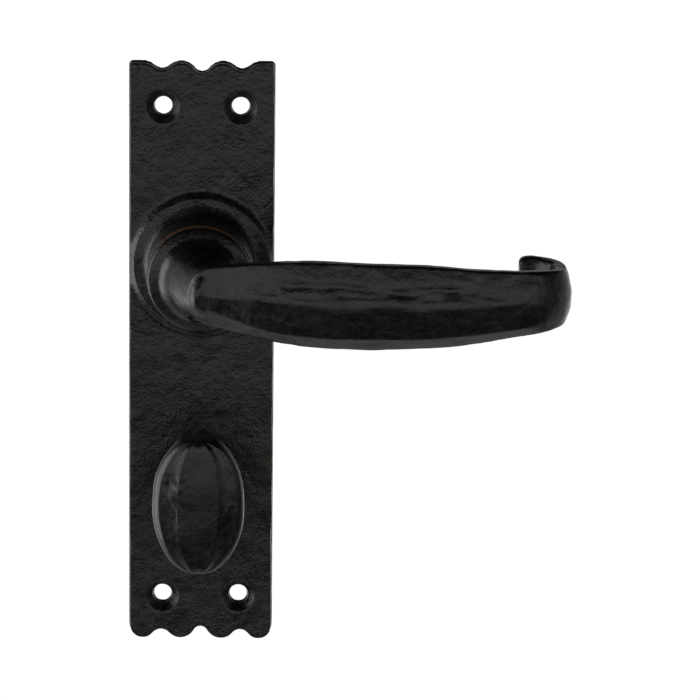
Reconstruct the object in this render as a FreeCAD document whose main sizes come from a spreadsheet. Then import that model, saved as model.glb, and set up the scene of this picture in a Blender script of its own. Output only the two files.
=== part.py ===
"""Sprung lever handle with a thumb turn on a tall backplate, as a FreeCAD document.

Frame: millimetres. The origin is on the lever's axis, on the backplate's door face.
+X points along the lever towards its tip, +Y points into the door, +Z is up.
"Lift" is the distance out of the door face towards the user, so y = -lift.
"""
import FreeCAD, Part
import math
import os
import Sketcher

Y_AXIS = FreeCAD.Vector(0, 1, 0)
Z_AXIS = FreeCAD.Vector(0, 0, 1)
ORIGIN = FreeCAD.Vector(0, 0, 0)

# Driving dimensions: millimetres, and degrees or shares where the name says so.
DIMENSIONS = {
    # backplate
    "plate_width": 38.0,
    "plate_top": 53.0,
    "plate_foot": 101.8,
    "plate_thickness": 4.5,
    "plate_edge_round": 0.6,
    "scallop_inner": 5.4,
    "scallop_outer": 15.3,
    "scallop_round": 4.5,
    "top_corner_round": 1.0,
    "top_side_depth": 1.9,
    "top_middle_depth": 2.7,
    "foot_side_depth": 2.1,
    "foot_middle_depth": 3.3,
    # wood screw holes
    "screw_spacing_across": 20.0,
    "screw_spacing_along": 131.0,
    "screw_top_margin": 11.7,
    "screw_hole_diameter": 4.5,
    "screw_sink_diameter": 8.6,
    # raised rose and spring housing
    "rose_width": 4.5,
    "rose_rise": 3.0,
    "rose_rim_rise": 0.6,
    "rose_shoulder_in": 0.75,
    "rose_shoulder_rise": 1.5,
    "rose_root_out": 1.35,
    "rose_root_rise": 2.1,
    "housing_side_wall": 2.5,
    "housing_front_wall": 4.0,
    "housing_round": 0.8,
    "ledge_width": 1.4,
    # lever bearing
    "journal_radius": 8.0,
    "running_gap": 0.05,
    "thrust_gap": 0.1,
    "bush_wall": 0.75,
    "bush_flange": 1.2,
    "bush_setback": 0.4,
    "bush_bevel": 0.2,
    # lever
    "collar_setback": 0.6,
    "collar_thickness": 2.2,
    "collar_round": 0.7,
    "neck_radius": 9.8,
    "neck_rise": 20.2,
    "neck_sink": 0.2,
    "lever_reach": 94.7,
    "blade_start": 4.9,
    "blade_rise": 11.0,
    "blade_height": 22.7,
    "blade_start_height": 16.4,
    "blade_front_bulge": 4.1,
    "blade_back_bulge": 3.6,
    "blade_wall": 4.2,
    "blade_edge_round": 0.7,
    "curl_drop": 17.0,
    "curl_radius": 8.5,
    "curl_straight": 2.7,
    "curl_height": 15.0,
    "curl_thickness": 6.4,
    "curl_wall": 3.4,
    "curl_end": 1.6,
    "curl_end_height_share": 0.86,
    "curl_end_thickness_share": 0.7,
    "nose_degrees": 22.0,
    "nose_crown_share": 0.8,
    "nose_wall_share": 1.0,
    # shank of the lever, behind the collar
    "shank_end_lift": 0.4,
    "shank_flat_depth": 1.2,
    "clip_groove_lift": 1.4,
    "clip_groove_depth": 0.4,
    "clip_thickness": 1.0,
    "clip_play": 0.1,
    "clip_width": 2.3,
    "clip_gap_share": 0.14,
    # spindle and its grub screw
    "spindle_side": 8.0,
    "spindle_play": 0.05,
    "spindle_length": 90.0,
    "spindle_bevel": 0.5,
    "socket_spare": 0.5,
    "grub_radius": 2.5,
    "grub_length": 4.0,
    "grub_margin": 0.9,
    "grub_key": 2.5,
    "grub_key_depth": 2.0,
    "grub_bevel": 0.4,
    # return spring and its driver
    "washer_thickness": 1.0,
    "washer_gap": 0.2,
    "driver_gap": 0.2,
    "driver_thickness": 2.0,
    "driver_play": 0.4,
    "driver_flat_overlap": 0.3,
    "driver_flat_share": 0.6,
    "flats_past_driver": 0.6,
    "spring_wire": 1.8,
    "coil_gap": 0.1,
    "spring_turns": 5.0,
    "spring_play": 0.5,
    "spring_end_gap": 0.25,
    "leg_bite": 1.7,
    "leg_gap": 0.05,
    "sleeve_wall": 0.7,
    "lug_depth": 1.5,
    "lug_degrees": 16.0,
    "stop_gap_degrees": 0.5,
    "lever_travel_degrees": 55.0,
    # thumb turn
    "turn_drop": 57.0,
    "turn_shank_radius": 5.0,
    "turn_bush_wall": 1.4,
    "turn_bush_shoulder": 0.95,
    "turn_bush_flange_width": 1.2,
    "turn_bush_flange": 1.5,
    "turn_bush_nose": 3.0,
    "turn_bush_round": 0.5,
    "turn_neck_radius": 5.2,
    "turn_neck_length": 18.4,
    "turn_neck_land": 1.1,
    "turn_neck_head_share": 1.15,
    "turn_knob_width": 24.0,
    "turn_knob_height": 35.6,
    "turn_knob_thickness": 12.0,
    "turn_shank_end_lift": 0.3,
    "turn_groove_lift": 0.65,
    "turn_groove_depth": 0.3,
    "turn_clip_thickness": 0.8,
    "turn_clip_width": 2.3,
    "turn_washer_width": 2.9,
    "turn_washer_thickness": 0.5,
    "turn_washer_gap": 0.4,
    "spring_washer_thickness": 0.35,
    "spring_washer_dish": 0.25,
    "turn_spindle_side": 5.0,
    "turn_spindle_length": 78.0,
    "turn_socket_depth": 22.0,
    "cross_pin_radius": 1.0,
    "cross_pin_lift": 15.0,
    "cross_pin_setback": 0.2,
}

# Lengths closer than this count as the same.
NEAR = 1e-4
# How far a cutting outline runs past the surface it cuts.
OVERCUT = 1
# A stop notch's curved ends are made of this many short straights.
NOTCH_STEPS = 8
NOTCH_OVERCUT_SHARE = 1.2

# Blade: share of the way along, share of the rise, direction in degrees, share of the growth from the
# narrow to the full height, share of the crowns and share of the wall. The later stations grow from the
# curl's height.
BLADE_NEAR_STATIONS = [
    (0.066, 0.17, 21, 0.30, 0.84, 1.0), (0.205, 0.555, 18.5, 0.80, 0.95, 1.03),
    (0.31, 0.775, 13.5, 0.985, 1.0, 1.03), (0.43, 0.937, 8, 1.0, 1.0, 1.0),
]
BLADE_FAR_STATIONS = [
    (0.526, 0.99, 3.5, 0.97, 1.0, 1.0), (0.628, 1.0, -2, 0.91, 1.0, 1.0),
    (0.786, 0.925, -9.5, 0.68, 0.97, 0.97), (0.913, 0.68, -19, 0.42, 0.92, 0.92),
    (0.98, 0.468, -29, 0.28, 0.88, 0.88),
]
# Curl: degrees turned and share of the curl's height, round the front centre and then the back one.
CURL_FRONT_STATIONS = [(42, 1.04), (66, 1.0), (90, 0.99)]
CURL_BACK_STATIONS = [(90, 0.99), (120, 1.0), (150, 1.02), (180, 1.02)]
# Neck: share of the way over to the blade, share of the climb, direction in degrees, and shares of the
# neck's radius across and upright.
NECK_STATIONS = [
    (0.0, 0.0, 90, 1.30, 1.30), (0.03, 0.10, 90, 1.10, 1.12), (0.13, 0.26, 88, 0.90, 0.94),
    (0.38, 0.49, 81, 0.80, 0.84), (0.72, 0.71, 74, 0.78, 0.81), (1.0, 0.89, 68, 0.78, 0.81),
    (1.15, 1.0, 66, 0.62, 0.66),
]
# Turn's neck from the bush outwards: share of its radius and share of its length.
TURN_NECK_STATIONS = [(1.16, 0.2), (1.0, 0.42), (1.04, 0.72), (1.3, 1.06)]
# Knob: share of the half height, of the half width and of the half thickness.
KNOB_STATIONS = [
    (-1.0, 0.33, 0.60), (-0.93, 0.50, 0.78), (-0.72, 0.75, 0.91), (-0.4, 0.94, 0.98), (0.0, 1.0, 1.0),
    (0.4, 0.94, 0.98), (0.72, 0.75, 0.91), (0.93, 0.50, 0.78), (1.0, 0.37, 0.60),
]


class Size:
    """A length that is known both as a number and as an expression on the sheet."""

    def __init__(self, value, text):
        self.value = value
        self.text = text

    def join(self, other, sign, value, swap=False):
        other = as_size(other)
        first, second = (other, self) if swap else (self, other)
        return Size(value(first.value, second.value), f"({first.text} {sign} {second.text})")

    def __add__(self, other):
        return self.join(other, "+", lambda a, b: a + b)

    def __radd__(self, other):
        return self.join(other, "+", lambda a, b: a + b, swap=True)

    def __sub__(self, other):
        return self.join(other, "-", lambda a, b: a - b)

    def __rsub__(self, other):
        return self.join(other, "-", lambda a, b: a - b, swap=True)

    def __mul__(self, other):
        return self.join(other, "*", lambda a, b: a * b)

    def __rmul__(self, other):
        return self.join(other, "*", lambda a, b: a * b, swap=True)

    def __truediv__(self, other):
        return self.join(other, "/", lambda a, b: a / b)

    def __neg__(self):
        return 0 - self

    def sin(self):
        return Size(math.sin(math.radians(self.value)), f"sin({self.text} * 1 deg)")

    def cos(self):
        return Size(math.cos(math.radians(self.value)), f"cos({self.text} * 1 deg)")


def as_size(value):
    return value if isinstance(value, Size) else Size(float(value), repr(float(value)))


def make_sheet(doc):
    """Writes the driving dimensions into the sheet and returns them as Sizes."""
    sheet = doc.addObject("Spreadsheet::Sheet", "Sizes")
    sizes = {}
    for row, (name, value) in enumerate(DIMENSIONS.items(), start=1):
        sheet.set(f"A{row}", name.replace("_", " "))
        sheet.set(f"B{row}", str(value))
        sheet.setAlias(f"B{row}", name)
        sizes[name] = Size(value, f"Sizes.{name}")
    doc.recompute()
    return sizes


DOC = FreeCAD.newDocument("LeverHandle")
S = make_sheet(DOC)
SUBPARTS = []


# ---------------------------------------------------------------- shared sizes

ZERO = as_size(0)
WIRE_RADIUS = S["spring_wire"] / 2

# Radii, from the shank outwards.
SHANK_RADIUS = S["journal_radius"]
BEARING_BORE = SHANK_RADIUS + S["running_gap"]
LOOSE_BORE = SHANK_RADIUS + S["thrust_gap"]
BUSH_RADIUS = BEARING_BORE + S["bush_wall"]
SLEEVE_RADIUS = LOOSE_BORE + S["sleeve_wall"]
SPRING_RADIUS = SLEEVE_RADIUS + S["spring_play"] + WIRE_RADIUS
CAVITY_RADIUS = SPRING_RADIUS + WIRE_RADIUS + S["spring_play"]
DRIVER_RADIUS = CAVITY_RADIUS - S["driver_play"]
LUG_RADIUS = DRIVER_RADIUS - S["lug_depth"]
LEDGE_RADIUS = CAVITY_RADIUS + S["ledge_width"]
WASHER_RADIUS = LEDGE_RADIUS - S["washer_gap"]
HOUSING_RADIUS = CAVITY_RADIUS + S["housing_side_wall"]
BUSH_FLANGE_RADIUS = HOUSING_RADIUS - S["bush_setback"]
COLLAR_RADIUS = HOUSING_RADIUS - S["collar_setback"]
ROSE_RADIUS = HOUSING_RADIUS + S["rose_width"]
CLIP_GROOVE_RADIUS = SHANK_RADIUS - S["clip_groove_depth"]
SHANK_FLAT = SHANK_RADIUS - S["shank_flat_depth"]
LEG_HOLE_RADIUS = WIRE_RADIUS + S["leg_gap"]

# Lifts, from the door outwards.
CLIP_BACK = S["clip_groove_lift"] + S["clip_play"] / 2
WASHER_BACK = CLIP_BACK + S["clip_thickness"] + S["thrust_gap"]
LEDGE_LIFT = WASHER_BACK + S["washer_thickness"]
DRIVER_BACK = LEDGE_LIFT + S["driver_gap"]
DRIVER_FRONT = DRIVER_BACK + S["driver_thickness"]
FLATS_LIFT = DRIVER_FRONT + S["flats_past_driver"]
SPRING_BACK = DRIVER_FRONT + S["spring_end_gap"] + WIRE_RADIUS
SPRING_PITCH = S["spring_wire"] + S["coil_gap"]
SPRING_FRONT = SPRING_BACK + SPRING_PITCH * S["spring_turns"]
CAVITY_FRONT = SPRING_FRONT + WIRE_RADIUS + S["spring_end_gap"]
HOUSING_LIFT = CAVITY_FRONT + S["housing_front_wall"]
BUSH_FRONT = HOUSING_LIFT + S["bush_flange"]
COLLAR_BACK = BUSH_FRONT + S["thrust_gap"]
COLLAR_FRONT = COLLAR_BACK + S["collar_thickness"]
GRUB_LIFT = COLLAR_FRONT + S["grub_margin"] + S["grub_radius"]
SPINDLE_FRONT = GRUB_LIFT + S["grub_radius"]
SOCKET_LIFT = SPINDLE_FRONT + S["socket_spare"]
SOCKET_SIDE = S["spindle_side"] + S["spindle_play"] * 2
BLADE_START_LIFT = COLLAR_FRONT + S["neck_rise"]
BLADE_CROWN_LIFT = BLADE_START_LIFT + S["blade_rise"]
CURL_X = S["lever_reach"] - S["curl_thickness"] / 2 - S["curl_radius"]

# Thumb turn: radii, then lifts.
TURN_Z = -S["turn_drop"]
TURN_BORE = S["turn_shank_radius"] + S["running_gap"]
TURN_LOOSE_BORE = S["turn_shank_radius"] + S["thrust_gap"]
TURN_BUSH_RADIUS = TURN_BORE + S["turn_bush_wall"]
TURN_NOSE_RADIUS = TURN_BUSH_RADIUS + S["turn_bush_shoulder"]
TURN_FLANGE_RADIUS = TURN_NOSE_RADIUS + S["turn_bush_flange_width"]
TURN_WASHER_RADIUS = TURN_LOOSE_BORE + S["turn_washer_width"]
TURN_POCKET_RADIUS = TURN_WASHER_RADIUS + S["turn_washer_gap"]
TURN_GROOVE_RADIUS = S["turn_shank_radius"] - S["turn_groove_depth"]
TURN_CLIP_BACK = S["turn_groove_lift"] + S["clip_play"] / 2
TURN_CLIP_FRONT = TURN_CLIP_BACK + S["turn_clip_thickness"]
TURN_WASHER_FRONT = TURN_CLIP_FRONT + S["turn_washer_thickness"]
DISH_BACK = TURN_WASHER_FRONT + S["running_gap"]
DISH_FRONT = DISH_BACK + S["spring_washer_dish"] + S["spring_washer_thickness"]
TURN_POCKET_LIFT = DISH_FRONT + S["running_gap"]
TURN_FLANGE_FRONT = S["plate_thickness"] + S["turn_bush_flange"]
TURN_BUSH_FRONT = TURN_FLANGE_FRONT + S["turn_bush_nose"]
TURN_NECK_BACK = TURN_BUSH_FRONT + S["thrust_gap"]
KNOB_BACK = TURN_NECK_BACK + S["turn_neck_length"]
KNOB_LIFT = KNOB_BACK + S["turn_knob_thickness"] / 2
TURN_SOCKET_SIDE = S["turn_spindle_side"] + S["spindle_play"] * 2


# ---------------------------------------------------------------- modelling helpers

def bind(thing, name, size):
    thing.setExpression(name, as_size(size).text)


def new_body(name):
    body = DOC.addObject("PartDesign::Body", name)
    body.Label = name
    SUBPARTS.append(body)
    return body


def new_sketch(body, name, role, offset=(0, 0, 0), axis=Z_AXIS, angle=0):
    """Sketch on one of the body's own origin planes, moved by bound offsets and turned."""
    sketch = body.newObject("Sketcher::SketchObject", name)
    plane = [item for item in body.Origin.OriginFeatures if item.Role == role][0]
    sketch.AttachmentSupport = [(plane, "")]
    sketch.MapMode = "FlatFace"
    offset = [as_size(part) for part in offset]
    turn = FreeCAD.Rotation(axis, as_size(angle).value)
    sketch.AttachmentOffset = FreeCAD.Placement(FreeCAD.Vector(*[part.value for part in offset]), turn)
    for letter, part in zip("xyz", offset):
        if part.text != ZERO.text:
            bind(sketch, f"AttachmentOffset.Base.{letter}", part)
    if isinstance(angle, Size):
        bind(sketch, "AttachmentOffset.Rotation.Angle", angle)
    return sketch


def axial_sketch(body, name, axis_z=ZERO):
    """Sketch for turned shapes: x is the radius, y is the lift, the turning axis is vertical."""
    return new_sketch(body, name, "XY_Plane", (0, 0, axis_z), Z_AXIS, 180)


def face_sketch(body, name, lift=ZERO):
    """Sketch parallel to the plate: x is +X, y is +Z, and it pads away from the door."""
    return new_sketch(body, name, "XZ_Plane", (0, 0, lift))


def fix_point(sketch, item, end, across, up):
    """Holds one point of a sketch at a bound distance from the sketch's origin."""
    for kind, axis, size in (("DistanceX", -2, across), ("DistanceY", -1, up)):
        size = as_size(size)
        if size.text == ZERO.text:
            sketch.addConstraint(Sketcher.Constraint("PointOnObject", item, end, axis))
            continue
        number = sketch.addConstraint(Sketcher.Constraint(kind, -1, 1, item, end, size.value))
        bind(sketch, f"Constraints[{number}]", size)


def fix_radius(sketch, item, size):
    number = sketch.addConstraint(Sketcher.Constraint("Radius", item, as_size(size).value))
    bind(sketch, f"Constraints[{number}]", size)


def draw_polygon(sketch, corners):
    """Closed outline of straight lines, every corner fixed."""
    points = [FreeCAD.Vector(as_size(x).value, as_size(y).value, 0) for x, y in corners]
    count = len(points)
    first = sketch.GeometryCount
    for index in range(count):
        sketch.addGeometry(Part.LineSegment(points[index], points[(index + 1) % count]))
    for index in range(count):
        after = first + (index + 1) % count
        sketch.addConstraint(Sketcher.Constraint("Coincident", first + index, 2, after, 1))
    for index, (x, y) in enumerate(corners):
        fix_point(sketch, first + index, 1, x, y)


def draw_rectangle(sketch, low_x, low_y, high_x, high_y):
    draw_polygon(sketch, [(low_x, low_y), (high_x, low_y), (high_x, high_y), (low_x, high_y)])


def draw_circle(sketch, x, y, radius):
    centre = FreeCAD.Vector(as_size(x).value, as_size(y).value, 0)
    item = sketch.addGeometry(Part.Circle(centre, Z_AXIS, as_size(radius).value))
    fix_point(sketch, item, 3, x, y)
    fix_radius(sketch, item, radius)


def pad(body, sketch, name, length):
    feature = body.newObject("PartDesign::Pad", name)
    feature.Profile = sketch
    bind(feature, "Length", length)
    return feature


def pocket(body, sketch, name, length, towards_user=True):
    """Cuts from the sketch's plane; checks that something was removed."""
    before = body_volume(body)
    feature = body.newObject("PartDesign::Pocket", name)
    feature.Profile = sketch
    feature.Reversed = towards_user
    bind(feature, "Length", length)
    DOC.recompute()
    if feature.Shape.Volume >= before:
        raise RuntimeError(f"{name} removes nothing")
    return feature


def body_volume(body):
    DOC.recompute()
    return body.Shape.Volume


def turn_solid(body, name, rings, axis_z=ZERO):
    """Revolved feature from corners given as (radius, lift)."""
    sketch = axial_sketch(body, f"{name}Profile", axis_z)
    draw_polygon(sketch, rings)
    feature = body.newObject("PartDesign::Revolution", name)
    feature.Profile = sketch
    feature.ReferenceAxis = (sketch, ["V_Axis"])
    feature.Angle = 360
    return feature


def turn_cut(body, name, rings, axis_z=ZERO):
    """Revolved cut from corners given as (radius, lift)."""
    before = body_volume(body)
    sketch = axial_sketch(body, f"{name}Profile", axis_z)
    draw_polygon(sketch, rings)
    feature = body.newObject("PartDesign::Groove", name)
    feature.Profile = sketch
    feature.ReferenceAxis = (sketch, ["V_Axis"])
    feature.Angle = 360
    DOC.recompute()
    if feature.Shape.Volume >= before:
        raise RuntimeError(f"{name} removes nothing")
    return feature


def dress(body, kind, name, base, chosen, size):
    """Fillet or Chamfer on the edges of the base feature that the test chooses."""
    DOC.recompute()
    edges = [f"Edge{n}" for n, edge in enumerate(base.Shape.Edges, start=1) if chosen(edge)]
    if not edges:
        raise RuntimeError(f"{name} finds no edge")
    feature = body.newObject(f"PartDesign::{kind}", name)
    feature.Base = (base, edges)
    bind(feature, "Radius" if kind == "Fillet" else "Size", size)
    return feature


def ring_edge(radius, lift, axis_z=ZERO):
    """Test for a full circle round a lift axis."""
    def chosen(edge):
        if not isinstance(edge.Curve, Part.Circle):
            return False
        centre = FreeCAD.Vector(0, -as_size(lift).value, axis_z.value)
        same_radius = abs(edge.Curve.Radius - as_size(radius).value) < NEAR
        return same_radius and edge.Curve.Center.isEqual(centre, NEAR)
    return chosen


# ---------------------------------------------------------------- backplate

def crest(x, y, radius):
    return {"crest": True, "x": as_size(x), "y": as_size(y), "radius": as_size(radius)}


def hollow(radius):
    return {"crest": False, "radius": radius}


def trough_radius(half_pitch, depth):
    """Radius of the hollow that dips this far between two crests of the scallop's round."""
    return (half_pitch * half_pitch + depth * depth) / (depth * 2) - S["scallop_round"]


def right_of(direction):
    return FreeCAD.Vector(direction.y, -direction.x, 0)


def place_hollow(before, after, radius):
    """Centre of a circle that touches two crest circles from outside the plate."""
    span = (after["centre"] - before["centre"]).Length
    forward = (after["centre"] - before["centre"]) / span
    near = before["radius"].value + radius
    far = after["radius"].value + radius
    along = (span ** 2 + near ** 2 - far ** 2) / (2 * span)
    return before["centre"] + forward * along + right_of(forward) * math.sqrt(near ** 2 - along ** 2)


def joints_between(first, second):
    """Points where the outline leaves one circle and reaches the next one."""
    step = second["centre"] - first["centre"]
    r1, r2 = first["radius"].value, second["radius"].value
    if first["crest"] != second["crest"]:
        point = first["centre"] + step * (r1 / (r1 + r2))
        return point, point
    forward = step / step.Length
    lean = (r1 - r2) / step.Length
    normal = forward * lean + right_of(forward) * math.sqrt(1 - lean ** 2)
    return first["centre"] + normal * r1, second["centre"] + normal * r2


def angle_of(circle, point):
    return math.atan2(point.y - circle["centre"].y, point.x - circle["centre"].x)


def draw_band(sketch, circles):
    """Closed outline round crest and hollow circles, anticlockwise, with lines between crests."""
    for circle in circles:
        if circle["crest"]:
            circle["centre"] = FreeCAD.Vector(circle["x"].value, circle["y"].value, 0)
    for index, circle in enumerate(circles):
        if not circle["crest"]:
            circle["centre"] = place_hollow(circles[index - 1], circles[index + 1], circle["radius"].value)
    joints = [joints_between(circle, circles[(n + 1) % len(circles)]) for n, circle in enumerate(circles)]
    ends = []
    for index, circle in enumerate(circles):
        arrive = angle_of(circle, joints[index - 1][1])
        leave = angle_of(circle, joints[index][0])
        low, high = (arrive, leave) if circle["crest"] else (leave, arrive)
        if high < low:
            high += 2 * math.pi
        whole = Part.Circle(circle["centre"], Z_AXIS, circle["radius"].value)
        item = sketch.addGeometry(Part.ArcOfCircle(whole, low, high))
        fix_radius(sketch, item, circle["radius"])
        if circle["crest"]:
            fix_point(sketch, item, 3, circle["x"], circle["y"])
        ends.append((item, 1, 2) if circle["crest"] else (item, 2, 1))
    for index, (item, _, leave) in enumerate(ends):
        after, arrive, _ = ends[(index + 1) % len(ends)]
        start, finish = joints[index]
        if (finish - start).Length > NEAR:
            line = sketch.addGeometry(Part.LineSegment(start, finish))
            sketch.addConstraint(Sketcher.Constraint("Tangent", item, leave, line, 1))
            sketch.addConstraint(Sketcher.Constraint("Tangent", line, 2, after, arrive))
        else:
            sketch.addConstraint(Sketcher.Constraint("Tangent", item, leave, after, arrive))


def plate_outline():
    """Crests and hollows of the plate's edge, from the top right corner round to the foot."""
    side = S["plate_width"] / 2
    outer, inner = S["scallop_outer"], S["scallop_inner"]
    corner, bump = S["top_corner_round"], S["scallop_round"]
    lobe = side - outer
    top, foot = S["plate_top"], -S["plate_foot"]
    side_pitch = (outer - inner) / 2
    top_side = trough_radius(side_pitch, S["top_side_depth"])
    top_middle = trough_radius(inner, S["top_middle_depth"])
    foot_side = trough_radius(side_pitch, S["foot_side_depth"])
    foot_middle = trough_radius(inner, S["foot_middle_depth"])
    return [
        crest(side - corner, top - corner, corner),
        crest(outer, top - bump, bump), hollow(top_side),
        crest(inner, top - bump, bump), hollow(top_middle),
        crest(-inner, top - bump, bump), hollow(top_side),
        crest(-outer, top - bump, bump),
        crest(-side + corner, top - corner, corner),
        crest(-outer, foot + lobe, lobe), hollow(foot_side),
        crest(-inner, foot + bump, bump), hollow(foot_middle),
        crest(inner, foot + bump, bump), hollow(foot_side),
        crest(outer, foot + lobe, lobe),
    ]


def make_backplate():
    """Cast plate with its raised rose, the spring housing and the thumb turn's pocket."""
    body = new_body("backplate")
    outline = face_sketch(body, "PlateOutline")
    draw_band(outline, plate_outline())
    plate = pad(body, outline, "Plate", S["plate_thickness"])
    front = -S["plate_thickness"].value
    dress(body, "Fillet", "PlateEdge", plate,
          lambda edge: edge.BoundBox.YMax < front + NEAR, S["plate_edge_round"])
    add_housing(body)
    cut_housing(body)
    cut_turn_pocket(body)
    cut_screw_holes(body)
    add_stop_lug(body)
    cut_spring_hole(body)
    return body


def add_housing(body):
    face, middle = S["plate_thickness"], S["plate_thickness"] / 2
    turn_solid(body, "Rose", [
        (0, middle), (ROSE_RADIUS, middle), (ROSE_RADIUS, face + S["rose_rim_rise"]),
        (ROSE_RADIUS - S["rose_shoulder_in"], face + S["rose_shoulder_rise"]),
        (HOUSING_RADIUS + S["rose_root_out"], face + S["rose_root_rise"]),
        (HOUSING_RADIUS, face + S["rose_rise"]), (0, face + S["rose_rise"])])
    housing = turn_solid(body, "Housing", [
        (0, middle), (HOUSING_RADIUS, middle), (HOUSING_RADIUS, HOUSING_LIFT), (0, HOUSING_LIFT)])
    dress(body, "Fillet", "HousingEdge", housing,
          ring_edge(HOUSING_RADIUS, HOUSING_LIFT), S["housing_round"])


def cut_housing(body):
    turn_cut(body, "HousingBore", [
        (0, -OVERCUT), (LEDGE_RADIUS, -OVERCUT), (LEDGE_RADIUS, LEDGE_LIFT),
        (CAVITY_RADIUS, LEDGE_LIFT), (CAVITY_RADIUS, CAVITY_FRONT), (BUSH_RADIUS, CAVITY_FRONT),
        (BUSH_RADIUS, HOUSING_LIFT + OVERCUT), (0, HOUSING_LIFT + OVERCUT)])


def cut_turn_pocket(body):
    turn_cut(body, "TurnBore", [
        (0, -OVERCUT), (TURN_POCKET_RADIUS, -OVERCUT), (TURN_POCKET_RADIUS, TURN_POCKET_LIFT),
        (TURN_BUSH_RADIUS, TURN_POCKET_LIFT), (TURN_BUSH_RADIUS, S["plate_thickness"] + OVERCUT),
        (0, S["plate_thickness"] + OVERCUT)], TURN_Z)


def screw_places():
    across = S["screw_spacing_across"] / 2
    high = S["plate_top"] - S["screw_top_margin"]
    low = high - S["screw_spacing_along"]
    return [(sign * across, level) for level in (high, low) for sign in (-1, 1)]


def cut_screw_holes(body):
    """Through holes with a right-angled countersink for wood screws."""
    drilled = face_sketch(body, "ScrewPlaces", S["plate_thickness"])
    for x, z in screw_places():
        draw_circle(drilled, x, z, S["screw_hole_diameter"] / 2)
    DOC.recompute()
    before = body_volume(body)
    holes = body.newObject("PartDesign::Hole", "ScrewHoles")
    holes.Profile = drilled
    holes.DepthType = "ThroughAll"
    holes.Threaded = False
    bind(holes, "Diameter", S["screw_hole_diameter"])
    holes.HoleCutType = "Countersink"
    holes.HoleCutCustomValues = True
    bind(holes, "HoleCutDiameter", S["screw_sink_diameter"])
    holes.HoleCutCountersinkAngle = 90
    DOC.recompute()
    if holes.Shape.Volume >= before:
        raise RuntimeError("the screw holes remove nothing")


def add_stop_lug(body):
    """Cast block low in the housing that the driver's notch comes up against."""
    sketch = face_sketch(body, "LugOutline", LEDGE_LIFT)
    half = S["lug_degrees"] / 2
    inner, outer = LUG_RADIUS, CAVITY_RADIUS + S["ledge_width"] / 2
    draw_polygon(sketch, [
        (-inner * half.sin(), -inner * half.cos()), (-outer * half.sin(), -outer * half.cos()),
        (outer * half.sin(), -outer * half.cos()), (inner * half.sin(), -inner * half.cos())])
    pad(body, sketch, "StopLug", DRIVER_FRONT - LEDGE_LIFT + S["driver_gap"])


def cut_spring_hole(body):
    """Blind hole in the housing's front wall for the spring's standing leg."""
    sketch = face_sketch(body, "SpringHolePlace", CAVITY_FRONT)
    draw_circle(sketch, 0, SPRING_RADIUS, LEG_HOLE_RADIUS)
    pocket(body, sketch, "SpringHole", S["leg_bite"] + S["spring_end_gap"])


# ---------------------------------------------------------------- lever

def lens_section(body, name, across, lift, degrees, half_height, front, back, wall):
    """Section of the blade, square to its path: two crowned faces and two flat walls, corners rounded.

    degrees is the path's direction: 90 points away from the door, 0 along +X and -90 at the door.
    """
    sketch = new_sketch(body, name, "YZ_Plane", (-lift, 0, across), Y_AXIS, -as_size(degrees))
    shape = crowned_shape(half_height, front, back, wall)
    front_x, front_radius, swing_front = shape["front"]
    back_x, back_radius, swing_back = shape["back"]
    side, rise, edge = shape["side"], shape["rise"], S["blade_edge_round"]
    arcs = [
        (front_x, 0, front_radius, math.pi - swing_front, math.pi + swing_front),
        (-side, -rise, edge, math.pi + swing_front, 1.5 * math.pi),
        (side, -rise, edge, -0.5 * math.pi, -swing_back),
        (back_x, 0, back_radius, -swing_back, swing_back),
        (side, rise, edge, swing_back, 0.5 * math.pi),
        (-side, rise, edge, 0.5 * math.pi, math.pi - swing_front),
    ]
    items = [add_arc(sketch, *arc) for arc in arcs]
    items.insert(2, add_wall(sketch, -side, side, -rise - edge))
    items.insert(6, add_wall(sketch, side, -side, rise + edge))
    for item, after in zip(items, items[1:] + items[:1]):
        sketch.addConstraint(Sketcher.Constraint("Tangent", item, 2, after, 1))
    for item, x, y in ((1, -side, -rise), (3, side, -rise), (5, side, rise), (7, -side, rise)):
        fix_point(sketch, items[item], 3, x, y)
    return sketch


def crowned_shape(half_height, front, back, wall):
    """Places and angles of a section's arcs: each crown runs on from the corners beside it."""
    half_height, front, back, wall = [as_size(size) for size in (half_height, front, back, wall)]
    edge = S["blade_edge_round"]
    side = wall / 2 - edge
    rise = half_height - edge
    shape = {"side": side, "rise": rise}
    for name, bulge, sign in (("front", front, 1), ("back", back, -1)):
        radius = face_radius(rise, bulge - wall / 2, edge)
        centre = sign * (radius.value - bulge.value)
        swing = math.atan2(rise.value, sign * centre + side.value)
        shape[name] = (centre, radius, swing)
    return shape


def add_arc(sketch, x, y, radius, low, high):
    x, y = as_size(x), as_size(y)
    circle = Part.Circle(FreeCAD.Vector(x.value, y.value, 0), Z_AXIS, radius.value)
    item = sketch.addGeometry(Part.ArcOfCircle(circle, low, high))
    fix_radius(sketch, item, radius)
    return item


def add_wall(sketch, start, end, level):
    return sketch.addGeometry(Part.LineSegment(
        FreeCAD.Vector(start.value, level.value, 0), FreeCAD.Vector(end.value, level.value, 0)))


def face_radius(rise, bulge, edge):
    """Radius of the face that bulges this far past the line between the two edge circles."""
    return (rise * rise + bulge * bulge) / (bulge * 2) + edge


def ellipse_section(body, name, across, lift, degrees, half_width, half_height):
    """Section of the neck, square to its path. Its longer half-axis is the upright one."""
    sketch = new_sketch(body, name, "YZ_Plane", (-lift, 0, across), Y_AXIS, -as_size(degrees))
    draw_ellipse(sketch, half_width, half_height)
    return sketch


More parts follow.
